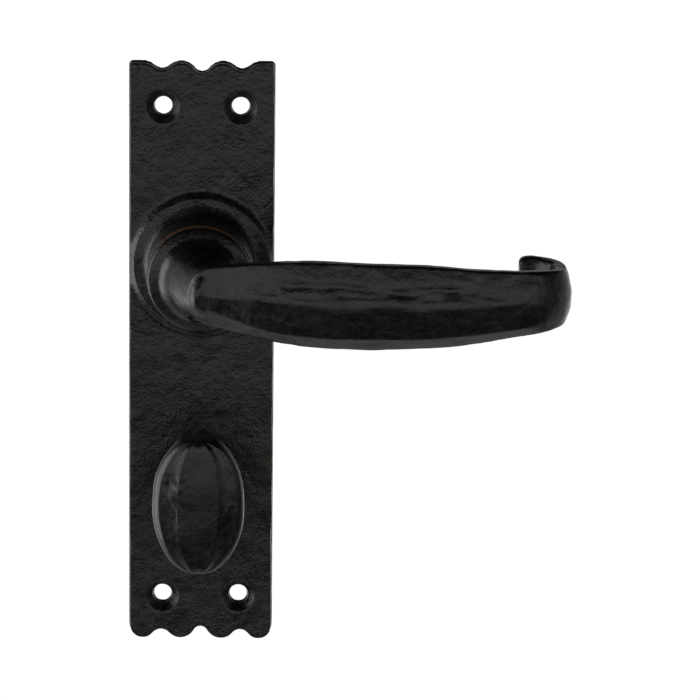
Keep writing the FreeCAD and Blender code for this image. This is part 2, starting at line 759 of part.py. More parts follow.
def draw_ellipse(sketch, half_x, half_y):
    """Ellipse round the sketch's origin, held by the ends of its long and short axes."""
    half_x, half_y = as_size(half_x), as_size(half_y)
    across = ("DistanceX", FreeCAD.Vector(half_x.value, 0, 0), half_x)
    upward = ("DistanceY", FreeCAD.Vector(0, half_y.value, 0), half_y)
    upright = half_y.value > half_x.value
    longer, shorter = (upward, across) if upright else (across, upward)
    item = sketch.addGeometry(Part.Ellipse(longer[1], shorter[1], ORIGIN))
    sketch.exposeInternalGeometry(item)
    fix_point(sketch, item, 3, 0, 0)
    sketch.addConstraint(Sketcher.Constraint("PointOnObject", item + 1, 1, -2 if upright else -1))
    for line, end, (kind, _, size) in ((item + 1, 1, longer), (item + 2, 2 if upright else 1, shorter)):
        number = sketch.addConstraint(Sketcher.Constraint(kind, -1, 1, line, end, size.value))
        bind(sketch, f"Constraints[{number}]", size)


def loft(body, name, sections):
    feature = body.newObject("PartDesign::AdditiveLoft", name)
    feature.Profile = sections[0]
    feature.Sections = sections[1:]
    feature.Ruled = False
    return feature


def blade_sections(body):
    """Stations along the bowed blade, from its nose to the start of the curl."""
    start = S["blade_start_height"] / 2
    stations = [(0.0, 0.0, S["nose_degrees"], 0.0, S["nose_crown_share"], S["nose_wall_share"], start)]
    stations += [station + (start,) for station in BLADE_NEAR_STATIONS]
    stations += [station + (S["curl_height"] / 2,) for station in BLADE_FAR_STATIONS]
    sections = []
    for number, (along, up, degrees, growth, crown, wall, low) in enumerate(stations, start=1):
        sections.append(lens_section(
            body, f"BladeSection{number}",
            S["blade_start"] + (CURL_X - S["blade_start"]) * along,
            BLADE_START_LIFT + S["blade_rise"] * up, degrees,
            low + (S["blade_height"] / 2 - low) * growth,
            S["blade_front_bulge"] * crown, S["blade_back_bulge"] * crown, S["blade_wall"] * wall))
    return sections


def curl_sections(body):
    """Stations round the curled tip: two quarter turns with a short straight between them."""
    front_centre = BLADE_CROWN_LIFT - S["curl_drop"]
    back_centre = front_centre - S["curl_straight"]
    half, thickness = S["curl_height"] / 2, S["curl_thickness"] / 2
    stations = [(front_centre,) + station for station in CURL_FRONT_STATIONS]
    stations += [(back_centre,) + station for station in CURL_BACK_STATIONS]
    sections = []
    for number, (centre, turned, height) in enumerate(stations, start=1):
        angle = as_size(turned)
        sections.append(lens_section(
            body, f"CurlSection{number}", CURL_X + S["curl_radius"] * angle.sin(),
            centre + S["curl_radius"] * angle.cos(), -turned, half * height,
            thickness, thickness, S["curl_wall"]))
    share = S["curl_end_thickness_share"]
    sections.append(lens_section(
        body, "CurlEnd", CURL_X - S["curl_end"], back_centre - S["curl_radius"], -180,
        half * S["curl_end_height_share"], thickness * share, thickness * share, S["curl_wall"] * share))
    return sections


def blade_nose(body):
    """Rounded end of the blade over the neck: the first section turned about its own middle line."""
    crown = S["nose_crown_share"]
    front, back = S["blade_front_bulge"] * crown, S["blade_back_bulge"] * crown
    wall = S["blade_wall"] * S["nose_wall_share"]
    shape = crowned_shape(S["blade_start_height"] / 2, front, back, wall)
    front_x, front_radius, swing_front = shape["front"]
    back_x, back_radius, swing_back = shape["back"]
    side, rise, edge = shape["side"], shape["rise"], S["blade_edge_round"]
    sketch = new_sketch(body, "NoseProfile", "YZ_Plane", (-BLADE_START_LIFT, 0, S["blade_start"]),
                        Y_AXIS, -S["nose_degrees"])
    items = [
        add_arc(sketch, back_x, 0, back_radius, 0, swing_back),
        add_arc(sketch, side, rise, edge, swing_back, 0.5 * math.pi),
        add_wall(sketch, side, -side, rise + edge),
        add_arc(sketch, -side, rise, edge, 0.5 * math.pi, math.pi - swing_front),
        add_arc(sketch, front_x, 0, front_radius, math.pi - swing_front, math.pi),
        add_wall(sketch, -front, back, ZERO),
    ]
    for item, after in zip(items[:4], items[1:5]):
        sketch.addConstraint(Sketcher.Constraint("Tangent", item, 2, after, 1))
    sketch.addConstraint(Sketcher.Constraint("Coincident", items[4], 2, items[5], 1))
    sketch.addConstraint(Sketcher.Constraint("Coincident", items[5], 2, items[0], 1))
    fix_point(sketch, items[1], 3, side, rise)
    fix_point(sketch, items[3], 3, -side, rise)
    for item, end in ((0, 3), (4, 3), (5, 1), (5, 2)):
        sketch.addConstraint(Sketcher.Constraint("PointOnObject", items[item], end, -1))
    feature = body.newObject("PartDesign::Revolution", "BladeNose")
    feature.Profile = sketch
    feature.ReferenceAxis = (sketch, ["H_Axis"])
    feature.Angle = 360
    return feature


def neck_sections(body):
    """Stations up the flared neck, which leans over into the back of the blade."""
    wide = S["neck_radius"]
    base = COLLAR_FRONT - S["neck_sink"]
    climb = BLADE_START_LIFT - base
    return [ellipse_section(body, f"NeckSection{number}", S["blade_start"] * along, base + climb * up,
                            degrees, wide * width, wide * height)
            for number, (along, up, degrees, width, height) in enumerate(NECK_STATIONS, start=1)]


def make_lever():
    """Handle casting: shank, collar, flared neck, bowed blade and curled tip."""
    body = new_body("lever")
    shank, groove = SHANK_RADIUS, CLIP_GROOVE_RADIUS
    groove_front = S["clip_groove_lift"] + S["clip_thickness"] + S["clip_play"]
    collar = turn_solid(body, "Collar", [
        (0, S["shank_end_lift"]), (shank, S["shank_end_lift"]), (shank, S["clip_groove_lift"]),
        (groove, S["clip_groove_lift"]), (groove, groove_front), (shank, groove_front),
        (shank, COLLAR_BACK), (COLLAR_RADIUS, COLLAR_BACK),
        (COLLAR_RADIUS, COLLAR_FRONT), (0, COLLAR_FRONT)])
    dress(body, "Fillet", "CollarEdge", collar,
          ring_edge(COLLAR_RADIUS, COLLAR_FRONT), S["collar_round"])
    loft(body, "Neck", neck_sections(body))
    blade_nose(body)
    loft(body, "Blade", blade_sections(body) + curl_sections(body))
    cut_lever_shank(body)
    return body


def cut_lever_shank(body):
    side = SOCKET_SIDE / 2
    socket = face_sketch(body, "SocketOutline", ZERO)
    draw_rectangle(socket, -side, -side, side, side)
    pocket(body, socket, "SpindleSocket", SOCKET_LIFT)
    flats = face_sketch(body, "FlatsOutline", ZERO)
    flat, past = SHANK_FLAT, SHANK_RADIUS + OVERCUT
    draw_rectangle(flats, flat, -past, past, past)
    draw_rectangle(flats, -past, -past, -flat, past)
    pocket(body, flats, "ShankFlats", FLATS_LIFT)
    grub = new_sketch(body, "GrubHolePlace", "XY_Plane", (0, -GRUB_LIFT, 0))
    draw_circle(grub, 0, 0, S["grub_radius"] + S["running_gap"])
    pocket(body, grub, "GrubHole", S["neck_radius"] + OVERCUT, towards_user=False)


def make_lever_bush():
    """Flanged bronze bush, pressed into the housing's front wall; the lever's shank turns in it."""
    body = new_body("lever_bush")
    bore = BEARING_BORE
    bush = turn_solid(body, "Bush", [
        (bore, CAVITY_FRONT), (BUSH_RADIUS, CAVITY_FRONT), (BUSH_RADIUS, HOUSING_LIFT),
        (BUSH_FLANGE_RADIUS, HOUSING_LIFT), (BUSH_FLANGE_RADIUS, BUSH_FRONT),
        (bore, BUSH_FRONT)])
    dress(body, "Chamfer", "BushEdge", bush, ring_edge(BUSH_FLANGE_RADIUS, BUSH_FRONT), S["bush_bevel"])
    return body


def square_bar(name, side, axis_z, front_lift, length):
    """Square spindle along the lift axis, with its ends bevelled."""
    body = new_body(name)
    sketch = face_sketch(body, "BarOutline", front_lift - length)
    draw_rectangle(sketch, -side / 2, axis_z - side / 2, side / 2, axis_z + side / 2)
    bar = pad(body, sketch, "Bar", length)
    back = (length - front_lift).value
    front = -front_lift.value
    dress(body, "Chamfer", "BarEnds", bar,
          lambda edge: edge.BoundBox.YMin > back - NEAR or edge.BoundBox.YMax < front + NEAR,
          S["spindle_bevel"])
    return body


def make_grub_screw():
    """Hexagon-socket set screw that clamps the spindle from under the neck."""
    body = new_body("spindle_grub_screw")
    bottom = -(S["spindle_side"] / 2 + S["grub_length"])
    sketch = new_sketch(body, "GrubOutline", "XY_Plane", (0, -GRUB_LIFT, bottom))
    draw_circle(sketch, 0, 0, S["grub_radius"])
    shank = pad(body, sketch, "GrubShank", S["grub_length"])
    dress(body, "Chamfer", "GrubEnds", shank, lambda edge: isinstance(edge.Curve, Part.Circle),
          S["grub_bevel"])
    key = new_sketch(body, "GrubKey", "XY_Plane", (0, -GRUB_LIFT, bottom))
    corner = S["grub_key"] / as_size(30).cos() / 2
    draw_polygon(key, [(corner * as_size(turned).cos(), corner * as_size(turned).sin())
                       for turned in range(0, 360, 60)])
    pocket(body, key, "GrubSocket", S["grub_key_depth"])
    return body


# ---------------------------------------------------------------- return spring

def make_return_spring():
    """Torsion spring of round wire with a leg at each end, parallel to the lever's axis."""
    body = new_body("return_spring")
    wire = new_sketch(body, "WireSection", "YZ_Plane")
    draw_circle(wire, -SPRING_BACK, SPRING_RADIUS, WIRE_RADIUS)
    coil = body.newObject("PartDesign::AdditiveHelix", "Coil")
    coil.Profile = wire
    coil.ReferenceAxis = (wire, ["H_Axis"])
    coil.Mode = "pitch-turns-angle"
    coil.Reversed = True
    bind(coil, "Pitch", SPRING_PITCH)
    bind(coil, "Turns", S["spring_turns"])
    for name, lift, length in (("FrontLeg", SPRING_FRONT, CAVITY_FRONT - SPRING_FRONT + S["leg_bite"]),
                               ("BackLeg", DRIVER_BACK, SPRING_BACK - DRIVER_BACK)):
        sketch = face_sketch(body, f"{name}Section", lift)
        draw_circle(sketch, 0, SPRING_RADIUS, WIRE_RADIUS)
        pad(body, sketch, name, length)
    return body


def make_spring_sleeve():
    """Nylon sleeve that keeps the coil off the shank."""
    body = new_body("spring_sleeve")
    start = FLATS_LIFT + S["thrust_gap"]
    end = CAVITY_FRONT - S["thrust_gap"]
    turn_solid(body, "Sleeve", [(LOOSE_BORE, start), (SLEEVE_RADIUS, start),
                                (SLEEVE_RADIUS, end), (LOOSE_BORE, end)])
    return body


def arc_points(radius, start, end, steps):
    """Corners along an arc, for a stamped edge made of short straights."""
    result = []
    for step in range(steps + 1):
        angle = start + (end - start) * (step / steps)
        result.append((radius * angle.cos(), radius * angle.sin()))
    return result


def make_spring_driver():
    """Stamped plate keyed to the shank's flats: it holds the spring's leg and meets the stop lug."""
    body = new_body("spring_driver")
    disc = face_sketch(body, "DriverOutline", DRIVER_BACK)
    draw_circle(disc, 0, 0, DRIVER_RADIUS)
    pad(body, disc, "DriverPlate", S["driver_thickness"])
    bore = face_sketch(body, "DriverBore", DRIVER_BACK)
    draw_circle(bore, 0, 0, BEARING_BORE)
    pocket(body, bore, "DriverHole", S["driver_thickness"])
    add_driver_flats(body)
    cut_stop_notch(body)
    leg = face_sketch(body, "LegNotchOutline", DRIVER_BACK)
    draw_rectangle(leg, -LEG_HOLE_RADIUS, SPRING_RADIUS - LEG_HOLE_RADIUS,
                   LEG_HOLE_RADIUS, DRIVER_RADIUS + OVERCUT)
    pocket(body, leg, "LegNotch", S["driver_thickness"])
    return body


def add_driver_flats(body):
    """Fills both sides of the bore up to the shank's flats."""
    near, far = SHANK_FLAT + S["running_gap"], BEARING_BORE + S["driver_flat_overlap"]
    half = BEARING_BORE * S["driver_flat_share"]
    for number, (low, high) in enumerate(((near, far), (-far, -near)), start=1):
        side = face_sketch(body, f"DriverFlat{number}Outline", DRIVER_BACK)
        draw_rectangle(side, low, -half, high, half)
        pad(body, side, f"DriverFlat{number}", S["driver_thickness"])


def cut_stop_notch(body):
    """Opening in the driver's rim that runs from one side of the stop lug to the other."""
    notch = face_sketch(body, "StopNotchOutline", DRIVER_BACK)
    reach = S["lug_degrees"] / 2 + S["stop_gap_degrees"]
    start, end = -90 - reach, -90 + reach + S["lever_travel_degrees"]
    inner = LUG_RADIUS - S["driver_gap"]
    outer = DRIVER_RADIUS * NOTCH_OVERCUT_SHARE
    draw_polygon(notch, arc_points(inner, start, end, NOTCH_STEPS)
                 + arc_points(outer, end, start, NOTCH_STEPS))
    pocket(body, notch, "StopNotch", S["driver_thickness"])


def make_retaining_washer():
    """Washer on the housing's ledge: the circlip pulls the lever up against it."""
    body = new_body("retaining_washer")
    turn_solid(body, "Washer", [
        (LOOSE_BORE, WASHER_BACK), (WASHER_RADIUS, WASHER_BACK),
        (WASHER_RADIUS, LEDGE_LIFT), (LOOSE_BORE, LEDGE_LIFT)])
    return body


def circlip(name, groove_radius, width, back_lift, thickness, axis_z):
    """External circlip: a flat ring in a groove, with a gap at the foot."""
    body = new_body(name)
    outer_radius = groove_radius + width
    sketch = face_sketch(body, "ClipOutline", back_lift)
    draw_circle(sketch, 0, axis_z, outer_radius)
    draw_circle(sketch, 0, axis_z, groove_radius)
    pad(body, sketch, "ClipRing", thickness)
    gap = face_sketch(body, "ClipGap", back_lift)
    half = outer_radius * S["clip_gap_share"]
    draw_rectangle(gap, -half, axis_z - outer_radius - OVERCUT, half, axis_z - groove_radius / 2)
    pocket(body, gap, "ClipOpening", thickness)
    return body


# ---------------------------------------------------------------- thumb turn

def knob_sections(body):
    """Level slices of the oval knob, from its foot to its top."""
    sections = []
    for number, (level, width, thick) in enumerate(KNOB_STATIONS, start=1):
        height = TURN_Z + S["turn_knob_height"] / 2 * level
        sketch = new_sketch(body, f"KnobSection{number}", "XY_Plane", (0, -KNOB_LIFT, height))
        draw_ellipse(sketch, S["turn_knob_width"] / 2 * width, S["turn_knob_thickness"] / 2 * thick)
        sections.append(sketch)
    return sections


def make_thumb_turn():
    """Oval knob with its neck and shank in one casting, with a square socket for the spindle."""
    body = new_body("thumb_turn")
    shank, groove, neck = S["turn_shank_radius"], TURN_GROOVE_RADIUS, S["turn_neck_radius"]
    groove_back = S["turn_groove_lift"]
    groove_front = groove_back + S["turn_clip_thickness"] + S["clip_play"]
    rings = [
        (0, S["turn_shank_end_lift"]), (shank, S["turn_shank_end_lift"]), (shank, groove_back),
        (groove, groove_back), (groove, groove_front), (shank, groove_front), (shank, TURN_NECK_BACK),
        (TURN_NOSE_RADIUS, TURN_NECK_BACK), (TURN_NOSE_RADIUS, TURN_NECK_BACK + S["turn_neck_land"])]
    rings += [(neck * wide, TURN_NECK_BACK + S["turn_neck_length"] * up)
              for wide, up in TURN_NECK_STATIONS]
    rings += [(neck * S["turn_neck_head_share"], KNOB_LIFT), (0, KNOB_LIFT)]
    turn_solid(body, "TurnShank", rings, TURN_Z)
    loft(body, "Knob", knob_sections(body))
    side = TURN_SOCKET_SIDE / 2
    socket = face_sketch(body, "TurnSocketOutline", ZERO)
    draw_rectangle(socket, -side, TURN_Z - side, side, TURN_Z + side)
    pocket(body, socket, "TurnSocket", S["turn_socket_depth"])
    drill_for_pin(body, TURN_NOSE_RADIUS)
    return body


def drill_for_pin(body, half_width):
    """Hole for the cross pin, right across the shank or the spindle."""
    sketch = new_sketch(body, "PinHolePlace", "YZ_Plane", (0, 0, -half_width))
    draw_circle(sketch, -S["cross_pin_lift"], TURN_Z, S["cross_pin_radius"])
    pocket(body, sketch, "PinHole", half_width * 2, towards_user=True)


def make_turn_bush():
    """Bronze bush with a flange on the plate's face and a short nose that carries the turn."""
    body = new_body("turn_bush")
    bore, flange_front = TURN_BORE, TURN_FLANGE_FRONT
    bush = turn_solid(body, "TurnBush", [
        (bore, TURN_POCKET_LIFT), (TURN_BUSH_RADIUS, TURN_POCKET_LIFT),
        (TURN_BUSH_RADIUS, S["plate_thickness"]), (TURN_FLANGE_RADIUS, S["plate_thickness"]),
        (TURN_FLANGE_RADIUS, flange_front), (TURN_NOSE_RADIUS, flange_front),
        (TURN_NOSE_RADIUS, TURN_BUSH_FRONT), (bore, TURN_BUSH_FRONT)], TURN_Z)
    dress(body, "Fillet", "TurnBushEdge", bush,
          ring_edge(TURN_FLANGE_RADIUS, flange_front, TURN_Z), S["turn_bush_round"])
    return body


def make_turn_washers():
    """Flat washer on the circlip and a dished spring washer that gives the turn its drag."""
    bore, rim = TURN_LOOSE_BORE, TURN_WASHER_RADIUS
    flat_washer = new_body("turn_washer")
    turn_solid(flat_washer, "TurnWasher", [(bore, TURN_CLIP_FRONT), (rim, TURN_CLIP_FRONT),
                                           (rim, TURN_WASHER_FRONT), (bore, TURN_WASHER_FRONT)], TURN_Z)
    dish, thick = S["spring_washer_dish"], S["spring_washer_thickness"]
    spring_washer = new_body("turn_spring_washer")
    turn_solid(spring_washer, "DishedWasher", [
        (bore, DISH_BACK + dish), (rim, DISH_BACK), (rim, DISH_BACK + thick), (bore, DISH_FRONT)], TURN_Z)


def make_cross_pin():
    """Plain pin through the shank's and the spindle's cross hole."""
    body = new_body("turn_cross_pin")
    half = S["turn_neck_radius"] - S["cross_pin_setback"]
    sketch = new_sketch(body, "PinOutline", "YZ_Plane", (0, 0, -half))
    draw_circle(sketch, -S["cross_pin_lift"], TURN_Z, S["cross_pin_radius"])
    pad(body, sketch, "Pin", half * 2)
    return body


# ---------------------------------------------------------------- assembly and export

def make_parts():
    make_backplate()
    make_lever_bush()
    make_lever()
    square_bar("lever_spindle", S["spindle_side"], ZERO, SPINDLE_FRONT, S["spindle_length"])
    make_grub_screw()
    make_return_spring()
    make_spring_sleeve()
    make_spring_driver()
    make_retaining_washer()
    circlip("lever_circlip", CLIP_GROOVE_RADIUS, S["clip_width"], CLIP_BACK, S["clip_thickness"], ZERO)
    make_thumb_turn()
    make_turn_bush()
    make_turn_washers()
    circlip("turn_circlip", TURN_GROOVE_RADIUS, S["turn_clip_width"], TURN_CLIP_BACK,
            S["turn_clip_thickness"], TURN_Z)
    spindle = square_bar("turn_spindle", S["turn_spindle_side"], TURN_Z,
                         S["turn_socket_depth"] - S["socket_spare"], S["turn_spindle_length"])
    drill_for_pin(spindle, S["turn_spindle_side"])
    make_cross_pin()


def check_document():
    DOC.recompute()
    for item in DOC.Objects:
        if "Invalid" in item.State or "Error" in item.State:
            raise RuntimeError(f"{item.Name} failed to recompute: {item.State}")
    for body in SUBPARTS:
        if body.Shape.isNull() or not body.Shape.isValid():
            raise RuntimeError(f"{body.Label} has no valid shape")


def export_parts():
    os.makedirs("parts", exist_ok=True)
    for body in SUBPARTS:
        body.Shape.exportStep(f"parts/{body.Label}.step")
        box = body.Shape.BoundBox
        print(f"{body.Label:20s} solids {len(body.Shape.Solids)} volume {body.Shape.Volume:9.1f} "
              f"x {box.XMin:6.1f} {box.XMax:6.1f} y {box.YMin:6.1f} {box.YMax:6.1f} "
              f"z {box.ZMin:6.1f} {box.ZMax:6.1f}")


make_parts()
check_document()
export_parts()
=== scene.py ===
"""Looks for a cast-iron lever handle with a thumb turn on a scalloped backplate. Metres, +Z up."""
import bmesh
import bpy
import math
import random
from mathutils import Matrix, Vector, noise


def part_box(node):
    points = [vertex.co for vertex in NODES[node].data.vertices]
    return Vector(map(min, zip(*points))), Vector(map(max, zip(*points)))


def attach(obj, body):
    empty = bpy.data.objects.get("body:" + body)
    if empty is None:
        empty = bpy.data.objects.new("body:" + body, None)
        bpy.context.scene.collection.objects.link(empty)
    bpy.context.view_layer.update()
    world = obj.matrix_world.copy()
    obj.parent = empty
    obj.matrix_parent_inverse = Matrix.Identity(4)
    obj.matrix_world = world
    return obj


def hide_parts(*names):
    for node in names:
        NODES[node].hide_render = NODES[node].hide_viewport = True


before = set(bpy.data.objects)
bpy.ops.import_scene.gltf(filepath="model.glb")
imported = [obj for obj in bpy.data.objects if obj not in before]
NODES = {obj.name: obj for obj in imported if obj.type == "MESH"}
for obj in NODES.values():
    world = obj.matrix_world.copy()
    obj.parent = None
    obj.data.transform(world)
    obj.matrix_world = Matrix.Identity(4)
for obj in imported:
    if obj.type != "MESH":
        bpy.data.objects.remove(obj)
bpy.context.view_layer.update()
SCENE = bpy.context.scene
MM = 0.001

BUSH_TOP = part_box("lever_bush")[0][1]
BUSH_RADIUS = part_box("lever_bush")[1][0]
LEVER_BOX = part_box("lever")
TURN_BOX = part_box("thumb_turn")

# Cells of the evenly meshed castings: small enough for their marks, under 200k triangles each.
PLATE_CELL = 0.43 * MM
LEVER_CELL = 0.37 * MM
TURN_CELL = 0.26 * MM

# Planes across the lever, in front of the bush: the neck lies behind them and the blade ahead.
FACET_PLANE = BUSH_TOP - 14 * MM
BLADE_PLANE = BUSH_TOP - 15 * MM
DENTED_PLANE = BUSH_TOP - 16 * MM
NOSE_PLANE = BUSH_TOP - 17 * MM

# Colours shared by the blackened castings.
SOOT = (0.001, 0.001, 0.0012, 1)
RUBBED_IRON = (0.036, 0.027, 0.017, 1)
WAX_DUST = (0.007, 0.007, 0.0067, 1)
PLATE_DUST = (0.016, 0.0156, 0.0135, 1)
WHITE = (1, 1, 1, 1)


# ------------------------------------------------------------------ shader maths

class Socket:
    """One output of a shader node, with ordinary arithmetic."""

    def __init__(self, tree, output):
        self.tree = tree
        self.output = output

    def math(self, operation, *values):
        return self.tree.node("ShaderNodeMath", {"operation": operation}, dict(enumerate(values)))

    def __add__(self, other):
        return self.math("ADD", self, other)

    __radd__ = __add__

    def __mul__(self, other):
        return self.math("MULTIPLY", self, other)

    __rmul__ = __mul__

    def __sub__(self, other):
        return self.math("SUBTRACT", self, other)

    def __rsub__(self, other):
        return self.math("SUBTRACT", other, self)

    def __abs__(self):
        return self.math("ABSOLUTE", self)

    def within(self, low, high):
        """0 below low, 1 above high, with a soft ramp between."""
        return self.tree.node("ShaderNodeMapRange", {"interpolation_type": "SMOOTHSTEP"},
                              {"Value": self, "From Min": low, "From Max": high})


class Tree:
    """The node tree of one material or world."""

    def __init__(self, owner):
        self.owner = owner
        owner.use_nodes = True
        self.nodes = owner.node_tree.nodes
        self.links = owner.node_tree.links
        self.nodes.clear()

    def node(self, kind, settings=None, inputs=None, out=0):
        """Adds a node: its settings first, then its sockets' values or links."""
        made = self.nodes.new(kind)
        for name, value in (settings or {}).items():
            setattr(made, name, value)
        for name, value in (inputs or {}).items():
            if isinstance(value, Socket):
                self.links.new(value.output, made.inputs[name])
            else:
                made.inputs[name].default_value = value
        return Socket(self, made.outputs[out])

    def place(self, stretch=(1, 1, 1)):
        """Object coordinates, squeezed by stretch."""
        coordinates = self.node("ShaderNodeTexCoord", out=3)
        return self.node("ShaderNodeMapping", {"vector_type": "POINT"},
                         {"Vector": coordinates, "Scale": stretch})

    def grain(self, size, stretch=(1, 1, 1), detail=2.0, rough=0.5):
        """Cloudy noise between 0 and 1 whose patches are about size metres."""
        return self.node("ShaderNodeTexNoise", None, {
            "Vector": self.place(stretch), "Scale": 1 / size, "Detail": detail, "Roughness": rough})

    def mix(self, share, first, second):
        """Colour between first and second."""
        return self.node("ShaderNodeMix", {"data_type": "RGBA"}, {0: share, 6: first, 7: second}, out=2)

    def bump(self, height, distance, strength=1.0, normal=None):
        """Normal roughened by height; normal is the bump that lies under this one."""
        inputs = {"Height": height, "Distance": distance, "Strength": strength}
        if normal:
            inputs["Normal"] = normal
        return self.node("ShaderNodeBump", None, inputs)

    def mask(self, name):
        """A value stored on the points of the mesh."""
        return self.node("ShaderNodeAttribute", {"attribute_name": name}, out=2)

    def finish(self, shader, output="ShaderNodeOutputMaterial"):
        """Links the shader to the output and hands back the material or world."""
        made = self.nodes.new(output)
        self.links.new(shader.output, made.inputs["Surface"])
        return self.owner


def material(name):
    return Tree(bpy.data.materials.new(name))


# ------------------------------------------------------------------ finishes

def black_iron(name, roughness, grain_size, grain_depth, dust, streaks=None):
    """Cast iron, blackened and waxed, with brown showing where the black has worn."""
    tree = material(name)
    cloud = tree.grain(7 * MM, detail=4.0, rough=0.6)
    speck = tree.grain(0.5 * MM, detail=2.0)
    wear = tree.mask("wear")
    bloom = tree.grain(1.6 * MM, detail=6.0, rough=0.8)
    dusty = (bloom + cloud * 0.5).within(0.6, 0.92)
    black = tree.mix(dusty, SOOT, dust)
    worn = tree.mix((wear * (0.4 + speck)).within(0.25, 0.75), black, RUBBED_IRON)
    shine = roughness - 0.12 + cloud * 0.1 + speck * 0.1 + dusty * 0.1 + wear * 0.1
    coarse = tree.grain(grain_size * 3, detail=3.0, rough=0.65)
    fine = tree.grain(grain_size, detail=2.0, rough=0.6)
    normal = tree.bump(fine, grain_depth, 1.0, tree.bump(coarse, grain_depth * 2.2))
    if streaks:
        drawn = tree.grain(1.1 * MM, stretch=streaks, detail=3.0)
        normal = tree.bump(drawn, 0.05 * MM, 0.7, normal)
    shader = tree.node("ShaderNodeBsdfPrincipled", None, {
        "Base Color": worn, "Roughness": shine, "Normal": normal, "Specular IOR Level": 0.5})
    return tree.finish(shader)


def turned_metal(name, dark, light, roughness):
    """Machined or drawn metal: fine lines, a little stain, uneven shine."""
    tree = material(name)
    stain = tree.grain(4 * MM, detail=4.0, rough=0.6)
    line = tree.grain(0.35 * MM, stretch=(1, 0.08, 1), detail=2.0)
    colour = tree.mix(stain.within(0.35, 0.7), dark, light)
    normal = tree.bump(line, 0.02 * MM, 0.6)
    shader = tree.node("ShaderNodeBsdfPrincipled", None, {
        "Base Color": colour, "Roughness": roughness - 0.08 + stain * 0.2, "Metallic": 1.0,
        "Normal": normal})
    return tree.finish(shader)


def rubbed_bronze():
    """Bronze gone nearly black, rubbed brown along the top where water and hands reach it."""
    tree = material("rubbed_bronze")
    height = tree.node("ShaderNodeSeparateXYZ", None, {0: tree.place()}, out=2)
    stain = tree.grain(2.5 * MM, detail=4.0, rough=0.6)
    rubbed = (height + stain * 4 * MM).within(9 * MM, 13 * MM)
    colour = tree.mix(rubbed, (0.02, 0.014, 0.01, 1), (0.2, 0.11, 0.06, 1))
    normal = tree.bump(tree.grain(0.35 * MM, stretch=(1, 0.08, 1)), 0.02 * MM, 0.6)
    shader = tree.node("ShaderNodeBsdfPrincipled", None, {
        "Base Color": colour, "Roughness": 0.36 + stain * 0.2, "Metallic": 0.8, "Normal": normal})
    return tree.finish(shader)


def black_oxide():
    """Blackened steel of the circlips and grub screw: a thin dark skin with an oily sheen."""
    tree = material("black_oxide_steel")
    cloud = tree.grain(1.5 * MM, detail=3.0)
    colour = tree.mix(cloud, (0.012, 0.012, 0.014, 1), (0.035, 0.034, 0.034, 1))
    normal = tree.bump(tree.grain(0.25 * MM), 0.01 * MM, 0.6)
    shader = tree.node("ShaderNodeBsdfPrincipled", None, {
        "Base Color": colour, "Roughness": 0.3 + cloud * 0.2, "Metallic": 0.7, "Normal": normal})
    return tree.finish(shader)


def pale_nylon():
    """Natural nylon of the spring's sleeve, faintly waxy and mottled."""
    tree = material("natural_nylon")
    cloud = tree.grain(3 * MM, detail=3.0)
    colour = tree.mix(cloud, (0.62, 0.60, 0.53, 1), (0.74, 0.72, 0.66, 1))
    normal = tree.bump(tree.grain(0.4 * MM), 0.01 * MM, 0.5)
    shader = tree.node("ShaderNodeBsdfPrincipled", None, {
        "Base Color": colour, "Roughness": 0.42 + cloud * 0.12, "Normal": normal,
        "Subsurface Weight": 0.15, "Subsurface Scale": 0.001})
    return tree.finish(shader)


def paint(piece, finish):
    piece.data.materials.clear()
    piece.data.materials.append(finish)


def finish_fittings():
    """Materials of the nodes that keep their machined shape."""
    bronze = rubbed_bronze()
    zinc = turned_metal("zinc_steel", (0.42, 0.42, 0.42, 1), (0.62, 0.61, 0.58, 1), 0.36)
    spring = turned_metal("spring_steel", (0.16, 0.16, 0.17, 1), (0.30, 0.29, 0.28, 1), 0.34)
    oxide = black_oxide()
    finishes = {
        "lever_bush": bronze, "turn_bush": bronze, "lever_spindle": zinc, "turn_spindle": zinc,
        "spring_driver": zinc, "retaining_washer": zinc, "turn_washer": zinc, "turn_cross_pin": zinc,
        "return_spring": spring, "turn_spring_washer": spring, "spindle_grub_screw": oxide,
        "lever_circlip": oxide, "turn_circlip": oxide, "spring_sleeve": pale_nylon(),
    }
    for name, finish in finishes.items():
        paint(NODES[name], finish)


# ------------------------------------------------------------------ casting

def ramp(value, low, high):
    """0 at low, 1 at high, smooth between."""
    share = min(1.0, max(0.0, (value - low) / (high - low)))
    return share * share * (3 - 2 * share)


def ripple(place, size, seed=0.0):
    """Noise between -1 and 1 whose waves are about size metres; size may differ by axis."""
    across, deep, tall = (size, size, size) if isinstance(size, float) else size
    point = Vector((place.x / across + seed, place.y / deep - seed, place.z / tall + 2 * seed))
    return noise.noise(point)


def cast_copy(name, node, cell, smoothing):
    """Evenly meshed copy of a casting, closed and ready to be worked."""
    mesh = bmesh.new()
    mesh.from_mesh(NODES[node].data)
    bmesh.ops.remove_doubles(mesh, verts=mesh.verts, dist=0.002 * MM)
    data = bpy.data.meshes.new(name)
    mesh.to_mesh(data)
    mesh.free()
    rough = bpy.data.objects.new(name + "_rough", data)
    SCENE.collection.objects.link(rough)
    even = rough.modifiers.new("even", "REMESH")
    even.mode = "VOXEL"
    even.voxel_size = cell
    depsgraph = bpy.context.evaluated_depsgraph_get()
    shape = bpy.data.meshes.new_from_object(rough.evaluated_get(depsgraph))
    bpy.data.objects.remove(rough)
    shape.name = name
    piece = bpy.data.objects.new(name, shape)
    SCENE.collection.objects.link(piece)
    work(piece, None, smoothing)
    return piece


